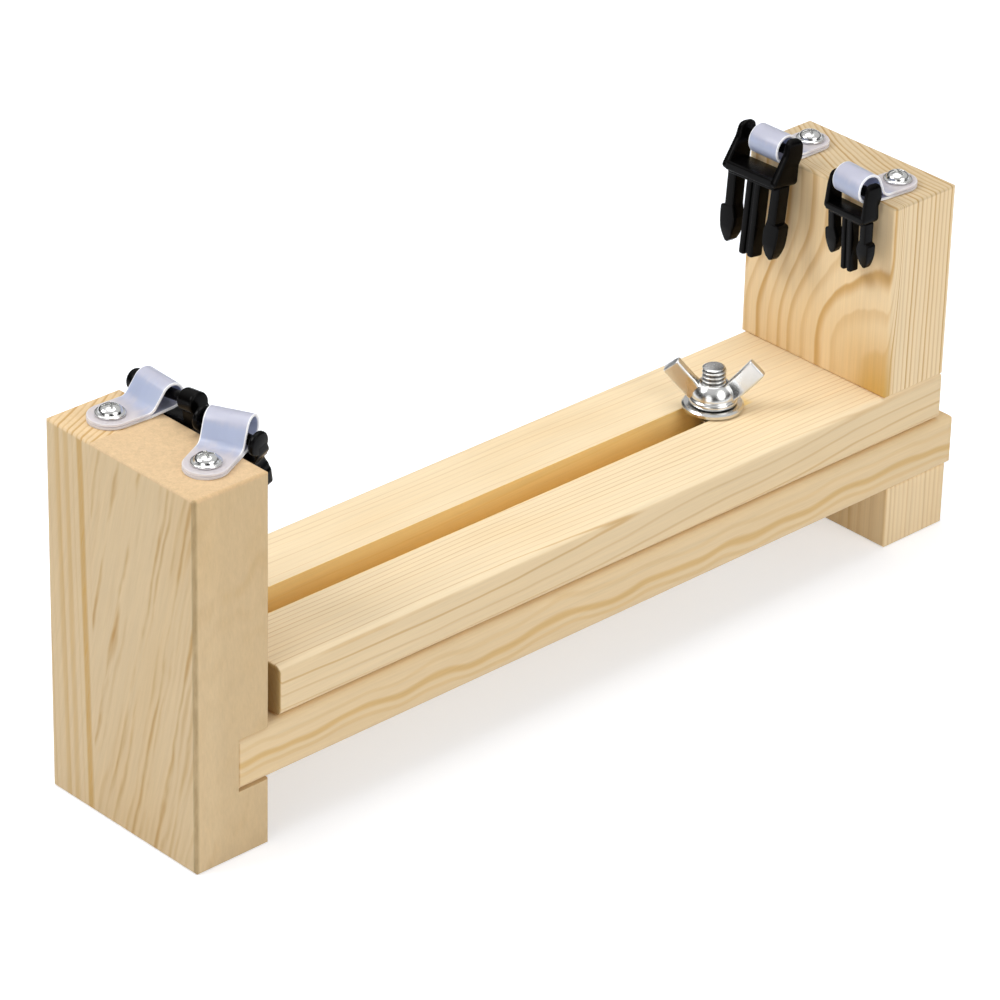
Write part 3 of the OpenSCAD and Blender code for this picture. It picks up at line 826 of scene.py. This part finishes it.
def socket_shape(ear, ear_r, waist, mouth, slit, z_waist, z_mouth, z_end, back, top_depth, mouth_depth,
                 edge, inward=0.0):
    """Socket half about its bar: two round ears, two necks, the bar and a waisted shell open at its mouth.

    ear, waist and mouth are half widths, joined by half cosine waves down to the heights z_waist and
    z_mouth. slit is the length of bar between the ears, less what the ear on the -Y side reaches inward.
    """
    shoulder = -3

    def half_y(z):
        """Half width at each height, with a band round the mouth."""
        up = eased(ear, waist, (z - shoulder) / (z_waist - shoulder))
        down = eased(waist, mouth - 0.5, (z - z_waist) / (z_mouth - z_waist))
        band_out = smooth(z_mouth, z_mouth - 0.5, z) * 0.5
        return np.where(z > shoulder, ear, np.where(z > z_waist, up, down + band_out))

    def x_high(z):
        """Front side, sloping out toward the mouth."""
        return np.interp(z, [z_end, z_mouth + 1, -1.5, 1], [mouth_depth, mouth_depth, top_depth, 2.4])

    parts = []
    for s in (-1, 1):
        a, b = (slit / 2, ear) if s > 0 else (-ear, -slit / 2 + inward)
        parts.append(cross_bar(a, b, (0, 0), ear_r, ear_r, ear_r, 0.7, 0.25))
        inner = a if s > 0 else b

        def neck(z, s=s, inner=inner):
            """Lower and higher side along Y of a neck, which hangs from its ear."""
            root = np.full_like(z, inner)
            return (root, half_y(z)) if s > 0 else (-half_y(z), root)

        parts.append(upright_bar(-0.5, -7.0, lambda z, n=neck: (np.full_like(z, -back), n(z)[0]),
                                 lambda z, n=neck: (x_high(z), n(z)[1]), edge * 1.4, edge))
    parts.append(cross_bar(-slit / 2 - 0.6, slit / 2 + 0.6, (0, 0), BAR_R, BAR_R, BAR_R, 0.1))
    top, wall = -5.7, 1.5
    d = stations(top - z_end, 0.4, edge)
    z = top - d
    cut = end_shrink(d, top - z_end, edge)

    def rings(z, grow, corner, least):
        """Rounded sections of the shell at each height, grown by a length on all sides."""
        path = np.column_stack([(x_high(z) - back) / 2, 0 * z, z])
        half_x = np.maximum((x_high(z) + back) / 2 + grow, least)
        half_across = np.maximum(half_y(z) + grow, least)
        return rounded_rings(path, [1, 0, 0], [0, 1, 0], half_x, half_across, corner)

    inside = np.linspace(z_end + 0.02, z_waist + 1.2, 24)
    lip = 0.25 * smooth(z_end + 1.0, z_end, inside)
    parts.append(skin(np.concatenate([rings(z, -cut, 1.0, LEAST), rings(inside, lip - wall, 0.6, 0.4)])))
    return parts


# Operators

class JIG_OT_posts(bpy.types.Operator):
    """Pine on the two posts and the foot"""
    bl_idname = "jig.posts"
    bl_label = "Dress the posts and foot"

    def fixed_post(self, wood, ring):
        """Two glued strips: upright bands on the far strip, slanting streaks on the near one."""
        look = Look("pine_fixed_post")
        q = look.place()
        x, y, z = look.split(q)
        far = Grain(look, (1.4, 0.0, 0.0), (-190.0, 130.0, 60.0), ring * 0.8,
                    wave=1.5, ripple=0.5, even=0.2, soft=0.45)
        near = Grain(look, (-14.0, 3.0, 0.0), (-120.0, -150.0, 60.0), ring * 1.1,
                     wave=3.5, ripple=4.2, even=0.0, soft=0.1, fall=0.6)
        seam = y.step(11.6, 11.9)
        end = z.step(POST_TOP - 1.0, POST_TOP - 0.4)
        side = y.step(LEFT_NEAR + 1.4, LEFT_NEAR + 0.6)
        dashes = look.noise(look.stretch(look.place((-14.0, 0.0, 0.0)), (0.12, 0.2, 0.032)), 1.0, 3.0, 0.6)
        patch = dashes.step(-0.14, 0.15) * (1.0 - end * 0.85) * (1.0 - side * 0.8)
        near.dark = near.dark * patch * (1.0 - seam) + far.dark * seam * (end * 1.7 + 0.3)
        # Each streak: place, half width, softness and share
        streaks = ((24.2, 0.3, 1.2, 0.4), (20.6, 0.3, 1.1, 0.4), (15.0, 0.5, 0.9, 0.75))

        def marks(colour):
            """Resin streaks, a tan end, a warmer near side, painted shade on the outer face, a worn corner
            and pale dust on it.
            """
            sway = look.noise(look.stretch(q, (0.05, 0.05, 0.014)), 1.0, 1.0) * 1.6 + (z - 60.0) * -0.022
            for at, half, soft, share in streaks:
                line = band(y + sway, at, half, soft) * (1.0 - end) * (near.fibre + 1.0)
                colour = look.mix(line * share, colour, rgb(wood.honey))
            speck = look.noise(q, 0.8, 4.0, 0.8)
            tan = look.scaled(from_bytes(225, 194, 156), 1.0 + speck * 0.8)
            colour = look.mix(end * (0.72 - seam * 0.45), colour, tan)
            pink = x.step(LEFT_OUTER + 6.0, LEFT_OUTER + 10.0) * side
            colour = look.mix(side * 0.14 + pink * 0.05, colour, rgb(wood.late))
            # Painted shade: the outer face is made darker.
            front = x.step(LEFT_OUTER + 0.8, LEFT_OUTER + 0.2) * 0.09
            shade = 0.82 + end * 0.13 - front - pink * 0.03
            colour = look.scaled(look.mix(0.13, colour, rgb(wood.honey)), shade)
            edge = x.step(LEFT_OUTER + 1.2, LEFT_OUTER + 0.3) * y.step(LEFT_NEAR + 1.6, LEFT_NEAR + 1.0)
            worn = look.noise(look.stretch(q, (0.5, 0.5, 0.12)), 1.0, 3.0, 0.7)
            colour = look.mix(edge * (worn + 0.5) * 1.1, colour, rgb(from_bytes(150, 126, 84)))
            corner = x.step(LEFT_OUTER + 3.0, LEFT_OUTER + 0.4) * y.step(LEFT_NEAR + 3.0, LEFT_NEAR + 0.8)
            dust = look.noise(q, 1.1, 2.0).step(0.24, 0.30) * corner
            return look.mix(dust * 0.9, colour, (0.90, 0.85, 0.76, 1.0))

        dress("left_post", pine(look, wood, near, line=1.0, cream=0.1, marks=marks))

    def sliding_post(self, wood, ring):
        """One heart-side piece: arches on the inner face, straight fine lines on the side."""
        look = Look("pine_sliding_post")
        q = look.place()
        x, y, z = look.split(q)
        pith = (RIGHT_INNER + 112.0, -31.0, 51.0)
        grain = Grain(look, (0.0, 0.0, 0.0), pith, ring * 0.8, wave=1.6, ripple=0.6, even=0.3, soft=0.4,
                      bow=(4.3, 9.0, 46.0, RIGHT_INNER - pith[0]))
        end = z.step(POST_TOP - 1.0, POST_TOP - 0.4)

        def marks(colour):
            """A warmer inner face, warmest low down on its near half, and a darker end."""
            ragged = look.noise(look.stretch(q, (0.08, 0.08, 0.04)), 1.0, 1.0) * 9.0
            inner = x.step(RIGHT_INNER + 4.0, RIGHT_INNER)
            low = (z + ragged).step(77.0, 51.0) * (y + ragged).step(-3.0, -29.0)
            warm = (z + ragged).step(84.0, 60.0) * 0.13 + 0.07
            colour = look.mix(inner * (low * 0.8 + warm), colour, rgb(wood.honey))
            return look.scaled(colour, 1.0 - end * 0.24 - inner * (warm * 0.16 + low * 0.08))

        dress("right_post", pine(look, wood, grain, line=1.0, cream=0.15, marks=marks))

    def foot(self, wood, ring):
        """Upright fine lines, warmer on the cut inner face."""
        look = Look("pine_foot")
        x = look.split(look.place())[0]
        grain = Grain(look, (0.0, 0.0, 0.0), (220.0, -60.0, 0.0), ring * 0.8, wave=1.2)
        inner = x.step(FOOT_INNER + 0.6, FOOT_INNER + 0.1) * 0.2

        def marks(colour):
            """A warmer inner face."""
            return look.mix(inner, colour, rgb(wood.honey))

        dress("foot_block", pine(look, wood, grain, line=0.45, cream=0.1, marks=marks))

    def execute(self, context):
        wood = context.scene.jig_wood
        ring = wood.ring / MM
        self.fixed_post(wood, ring)
        self.sliding_post(wood, ring)
        self.foot(wood, ring)
        return {"FINISHED"}


class JIG_OT_boards(bpy.types.Operator):
    """Pine on the base board and the slide board"""
    bl_idname = "jig.boards"
    bl_label = "Dress the boards"

    def slide(self, wood, ring):
        """Fine lines along the top, long arches down the side and warm cut walls in the slot."""
        look = Look("pine_slide_board")
        x, y = look.split(look.place())[:2]
        grain = Grain(look, (0.0, -88.6, 1.6), (60.0, 92.0, -8.0), ring * 0.72,
                      wave=2.0, ripple=0.5, even=0.2, soft=0.7)
        grain.dark = grain.dark * (y.step(12.0, -16.0) * 0.45 + 0.55)

        def marks(colour):
            """Warm walls in the slot, a warmer near side with painted shade on it and a darker cut end."""
            between = x.step(SLOT_START - 1.0, SLOT_START) * x.step(SLOT_END + 3.8, SLOT_END + 0.8)
            wall = abs(y).step(SLOT_HALF + 0.3, SLOT_HALF - 0.03) * between
            colour = look.mix(wall * 0.75, colour, rgb(from_bytes(250, 215, 130)))
            side = y.step(SLIDE_NEAR + 0.8, SLIDE_NEAR + 0.2)
            cut = x.step(SLIDE_INNER + 0.6, SLIDE_INNER + 0.1)
            # Painted shade: the near side is also made a little darker.
            return look.scaled(look.mix(side * 0.22 + cut * 0.7, colour, rgb(wood.honey)),
                               1.0 - side * 0.06 - cut * 0.45)

        dress("slide_board", pine(look, wood, grain, line=0.68, cream=0.62, marks=marks))

    def base(self, wood, ring):
        """Pale board with a few wandering yellow streaks on its side."""
        look = Look("pine_base_board")
        q = look.place()
        x, y, z = look.split(q)
        grain = Grain(look, (0.0, -90.0, -0.8), (0.0, 170.0, 22.0), ring * 1.5,
                      wave=4.0, ripple=0.8, even=0.1)
        # Each streak: place, half width, softness and share
        streaks = ((27.6, 0.3, 1.3, 0.6), (24.6, 0.2, 0.8, 0.3), (32.2, 0.2, 1.0, 0.2))

        def marks(colour):
            """Resin streaks that wander along the near side, and a warmer end."""
            sway = look.noise(look.stretch(q, (0.022, 0.03, 0.03)), 1.0, 2.0) * 13.0
            for at, half, soft, share in streaks:
                line = band(z + sway, at, half, soft)
                near = y.step(BASE_NEAR + 16.0, BASE_NEAR + 1.0)
                colour = look.mix(line * share * near, colour, rgb(wood.honey))
            end = x.step(BASE_END - 2.0, BASE_END)
            return look.scaled(look.mix(0.2 + end * 0.15, colour, rgb(wood.honey)), 0.93)

        dress("base_board", pine(look, wood, grain, line=0.2, cream=0.25, marks=marks))

    def execute(self, context):
        wood = context.scene.jig_wood
        ring = wood.ring / MM
        self.slide(wood, ring)
        self.base(wood, ring)
        return {"FINISHED"}


class JIG_OT_clips(bpy.types.Operator):
    """Four milky nylon straps with a loop"""
    bl_idname = "jig.clips"
    bl_label = "Make the clips"

    def execute(self, context):
        for name, clip in CLIPS.items():
            finish = nylon("milky_nylon_" + name, context.scene.jig_plastic, clip)
            part = moved(clip_strap(clip["loop"], clip["width"]), *clip_place(clip))
            piece(name + "_strap", [part], finish, clip["body"], [name + "_clip"], 60)
        return {"FINISHED"}


class JIG_OT_clip_screws(bpy.types.Operator):
    """Four washer-head screws with a cross recess"""
    bl_idname = "jig.clip_screws"
    bl_label = "Make the clip screws"

    def execute(self, context):
        metal = context.scene.jig_metal
        finish = zinc("zinc_screw_head", metal, (0.6, 0.6, 0.6), 0.17)
        turns = (28.0, 52.0, 35.0, 12.0)
        for (name, clip), turn in zip(CLIPS.items(), turns):
            m, o = clip_place(clip)
            part = moved(clip_screw_shape(metal.recess / MM, turn), m, o + np.array([0, 0, SCREW_SEAT]))
            piece(name + "_washer_head_screw", [part], finish, clip["body"],
                  [name + "_screw"], 50)
        return {"FINISHED"}


class JIG_OT_bolt(bpy.types.Operator):
    """Threaded bolt and the finish of the washer and the hidden screws"""
    bl_idname = "jig.bolt"
    bl_label = "Make the bolt"

    def execute(self, context):
        metal = context.scene.jig_metal
        part = moved(bolt_shape(metal.pitch / MM, metal.depth / MM), np.eye(3), (BOLT_X, 0, 0))
        # Painted shade darkens the bolt's thread in its grooves.
        finish = zinc("zinc_bolt", metal, (0.2, 0.2, 0.9), 0.26,
                      painted_root_shade=(BOLT_R - 0.1, BOLT_R - 0.6, BOLT_TOP - 0.4))
        piece("threaded_bolt", [part], finish, "base", ["carriage_bolt"], 50)
        plain = zinc("zinc_washer", metal, (0.9, 0.25, 0.5), 0.2)
        for node in ("flat_washer", "foot_screws", "right_post_screws"):
            dress(node, plain)
        return {"FINISHED"}


class JIG_OT_wing_nut(bpy.types.Operator):
    """Wing nut with a domed hub and two twisted wings"""
    bl_idname = "jig.wing_nut"
    bl_label = "Make the wing nut"

    def execute(self, context):
        rest_turn = -46.0
        parts = [nut_hub_shape()] + [moved(nut_wing_shape(), turn_z(a), (0, 0, 0)) for a in (0, 180)]
        parts = [moved(p, turn_z(rest_turn), (BOLT_X, 0, NUT_SEAT)) for p in parts]
        finish = zinc("zinc_wing_nut", context.scene.jig_metal, (0.5, 0.5, 0.5), 0.21,
                      duller=(6.8, 9.0, 0.15))
        piece("cast_wing_nut", parts, finish, "nut", ["wing_nut"], 45)
        return {"FINISHED"}


class JIG_OT_buckles(bpy.types.Operator):
    """Two socket halves and two plug halves in black plastic"""
    bl_idname = "jig.buckles"
    bl_label = "Make the buckle halves"

    def hang(self, half, kind, finish, parts, place, turn, along=0.0):
        """Make a half, turned about Z, Y and X in degrees, hung at a place and moved along its bar."""
        m, o = place
        m = m @ turn_z(turn[0]) @ turn_y(turn[1]) @ turn_x(turn[2])
        parts = [moved(p, m, o + m @ np.array([0, along, 0])) for p in parts]
        piece(half + "_half_" + kind, parts, finish, half + "_half", [half], 45)

    def execute(self, context):
        plastic = context.scene.jig_plastic
        edge = plastic.edge / MM
        finish = black_plastic("satin_black_plastic", plastic)
        large_socket = socket_shape(
            ear=LARGE_W * 0.605, ear_r=3.2, waist=LARGE_W * 0.42, mouth=LARGE_W * 0.49, slit=21,
            z_waist=-10.5, z_mouth=-16.5, z_end=-24.5, back=1.7, top_depth=3.4, mouth_depth=6.2, edge=edge,
            inward=3.0)
        self.hang("large_socket", "shell", finish, large_socket, bar_place(CLIPS["left_far"], lift=0.55),
                  (3, 0, -7), along=-3.4)
        small_socket = socket_shape(
            ear=SMALL_W * 0.59, ear_r=3.5, waist=SMALL_W * 0.42, mouth=SMALL_W * 0.5, slit=16.8,
            z_waist=-8.8, z_mouth=-12, z_end=-16.8, back=1.5, top_depth=2.9, mouth_depth=4.9, edge=edge)
        self.hang("small_socket", "shell", finish, small_socket, bar_place(CLIPS["left_near"], shift=-0.5),
                  (-17, -14, 4))
        large_plug = plug_shape(
            width=LARGE_W, lug=2.4, top=4.1, foot=9.85, rail=2.8, back=1.8, top_depth=3.4, foot_depth=7.7,
            arm_length=21.8, neck=10.8, arm_width=3.2, head=1.4, arm_out=0.9, guide_width=5.4,
            guide_length=23.2, depth=4.6, edge=edge)
        self.hang("large_plug", "frame", finish, large_plug, bar_place(CLIPS["right_far"], lift=1.4),
                  (-1.5, -7, 2), along=-1.2)
        small_plug = plug_shape(
            width=SMALL_W, lug=1.6, top=3.4, foot=8.4, rail=2.2, back=1.8, top_depth=2.9, foot_depth=4.2,
            arm_length=13.2, neck=5.6, arm_width=2.4, head=1, arm_out=0.5, guide_width=4.2,
            guide_length=16.2, depth=3.2, edge=edge * 0.8)
        self.hang("small_plug", "frame", finish, small_plug, bar_place(CLIPS["right_near"]), (0, 0, 2),
                  along=-0.8)
        return {"FINISHED"}


class JIG_OT_stage(bpy.types.Operator):
    """Pale floor, soft lamps, world and the camera of the photograph"""
    bl_idname = "jig.stage"
    bl_label = "Set the stage"

    RAYS = ("Is Camera Ray", "Is Glossy Ray", "Is Transmission Ray")

    def camera(self, scene):
        """Camera of the photograph, from its place and its three axes."""
        data = bpy.data.cameras.new("photo_camera")
        data.sensor_fit, data.sensor_width, data.lens = "HORIZONTAL", 36.0, 184.996
        data.clip_start, data.clip_end = 0.05, 50.0
        right = Vector((0.7294346, -0.6836823, 0.0224427))
        up = Vector((0.3169406, 0.3668609, 0.8746209))
        back = Vector((-0.6061962, -0.6308657, 0.4842878))
        axes = Matrix((right, up, back)).transposed().to_4x4()
        obj = bpy.data.objects.new("photo_camera", data)
        obj.matrix_world = Matrix.Translation((-0.872399, -0.897915, 0.740421)) @ axes
        scene.collection.objects.link(obj)
        scene.camera = obj

    def floor(self, scene, colour):
        """Round floor just under the feet, with a glow for camera, glossy and transmitted rays only."""
        columns, height = 48, -0.05 * MM
        angle = np.linspace(0, 2 * np.pi, columns, endpoint=False)
        rims = np.stack([np.column_stack([r * np.cos(angle), r * np.sin(angle), 0 * angle + height])
                         for r in (0.05, 0.6, 2.0, 8.0)])
        points, faces = skin(rims, closed_ends=False)
        middle = [(i, (i + 1) % columns, len(points)) for i in range(columns)]
        mesh = bpy.data.meshes.new("floor")
        rows = [row[::-1] for row in faces[0].tolist()] + middle
        mesh.from_pydata(points.tolist() + [(0, 0, height)], [], rows)
        mesh.update()
        floor = bpy.data.objects.new("floor", mesh)
        scene.collection.objects.link(floor)
        look = Look("pale_floor")
        camera, glossy, through = look.outputs(look.node("ShaderNodeLightPath"), *self.RAYS)
        matt = look.node("ShaderNodeBsdfDiffuse", {}, {"Color": rgb(colour)})
        seen = (camera + glossy + through).step(0.0, 1.0)
        shown = look.mix(seen, (0, 0, 0, 1), (0.45, 0.45, 0.45, 1))
        glow = look.node("ShaderNodeEmission", {}, {"Color": shown, "Strength": 1.0})
        both = look.node("ShaderNodeAddShader", {}, [matt, glow])
        look.node("ShaderNodeOutputMaterial", {}, {"Surface": both})
        mesh.materials.append(look.owner)

    def sky(self, scene):
        """White behind the jig, a room with a bright ceiling in reflections and an even grey elsewhere."""
        look = Look("soft_studio", "worlds")
        scene.world = look.owner
        camera, glossy, through = look.outputs(look.node("ShaderNodeLightPath"), *self.RAYS)
        x, _, z = look.split(look.node("ShaderNodeTexCoord", out="Generated"))
        room = (z + x * 0.15).step(0.22, 0.62) * 0.62 + 0.05
        seen = (camera + through).step(0.0, 1.0)
        level = seen + (1.0 - seen) * (glossy * room + (1.0 - glossy) * 0.28)
        white = look.scaled((1, 1, 1), level)
        light = look.node("ShaderNodeBackground", {}, {"Color": white, "Strength": 1.0})
        look.node("ShaderNodeOutputWorld", {}, {"Surface": light})

    def lamp(self, scene, name, power, size, place, aim):
        """Round area lamp at a place, turned to a point."""
        data = bpy.data.lights.new(name, "AREA")
        data.energy, data.shape, data.size = power, "DISK", size
        obj = bpy.data.objects.new(name, data)
        obj.location = place
        obj.rotation_euler = (Vector(aim) - Vector(place)).to_track_quat("-Z", "Y").to_euler()
        scene.collection.objects.link(obj)

    def execute(self, context):
        scene, stage = context.scene, context.scene.jig_stage
        self.camera(scene)
        self.floor(scene, stage.floor)
        self.sky(scene)
        self.lamp(scene, "key_lamp", stage.key, 0.9, (-1.15, 0.75, 1.35), (0, 0, 0.05))
        self.lamp(scene, "fill_lamp", stage.fill, 1.5, (0.15, -1.9, 0.95), (0, 0, 0.06))
        self.lamp(scene, "side_lamp", stage.side, 1.0, (-1.5, -0.55, 0.4), (0, 0, 0.05))
        self.lamp(scene, "top_lamp", stage.top, 1.4, (0.15, 0.2, 1.8), (0, 0, 0.05))
        scene.view_settings.view_transform = "Standard"
        return {"FINISHED"}


OPERATORS = (JIG_OT_stage, JIG_OT_posts, JIG_OT_boards, JIG_OT_clips, JIG_OT_clip_screws, JIG_OT_bolt,
             JIG_OT_wing_nut, JIG_OT_buckles)
GROUPS = {"jig_wood": JigWood, "jig_metal": JigMetal, "jig_plastic": JigPlastic, "jig_stage": JigStage}


class JIG_PT_panel(bpy.types.Panel):
    """Sidebar panel with the jig's settings and steps"""
    bl_idname = "JIG_PT_panel"
    bl_label = "Braiding jig"
    bl_space_type = "VIEW_3D"
    bl_region_type = "UI"
    bl_category = "Jig"

    def draw(self, context):
        for group, kind in GROUPS.items():
            box = self.layout.box()
            for key in kind.__annotations__:
                box.prop(getattr(context.scene, group), key)
        for op in OPERATORS:
            self.layout.operator(op.bl_idname)


def register():
    for cls in (*GROUPS.values(), *OPERATORS, JIG_PT_panel):
        bpy.utils.register_class(cls)
    for group, kind in GROUPS.items():
        setattr(bpy.types.Scene, group, bpy.props.PointerProperty(type=kind))


def unregister():
    for group in GROUPS:
        delattr(bpy.types.Scene, group)
    for cls in reversed((*GROUPS.values(), *OPERATORS, JIG_PT_panel)):
        bpy.utils.unregister_class(cls)


def main():
    """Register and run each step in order."""
    register()
    bpy.ops.jig.stage()
    bpy.ops.jig.posts()
    bpy.ops.jig.boards()
    bpy.ops.jig.clips()
    bpy.ops.jig.clip_screws()
    bpy.ops.jig.bolt()
    bpy.ops.jig.wing_nut()
    bpy.ops.jig.buckles()


if __name__ == "__main__":
    main()
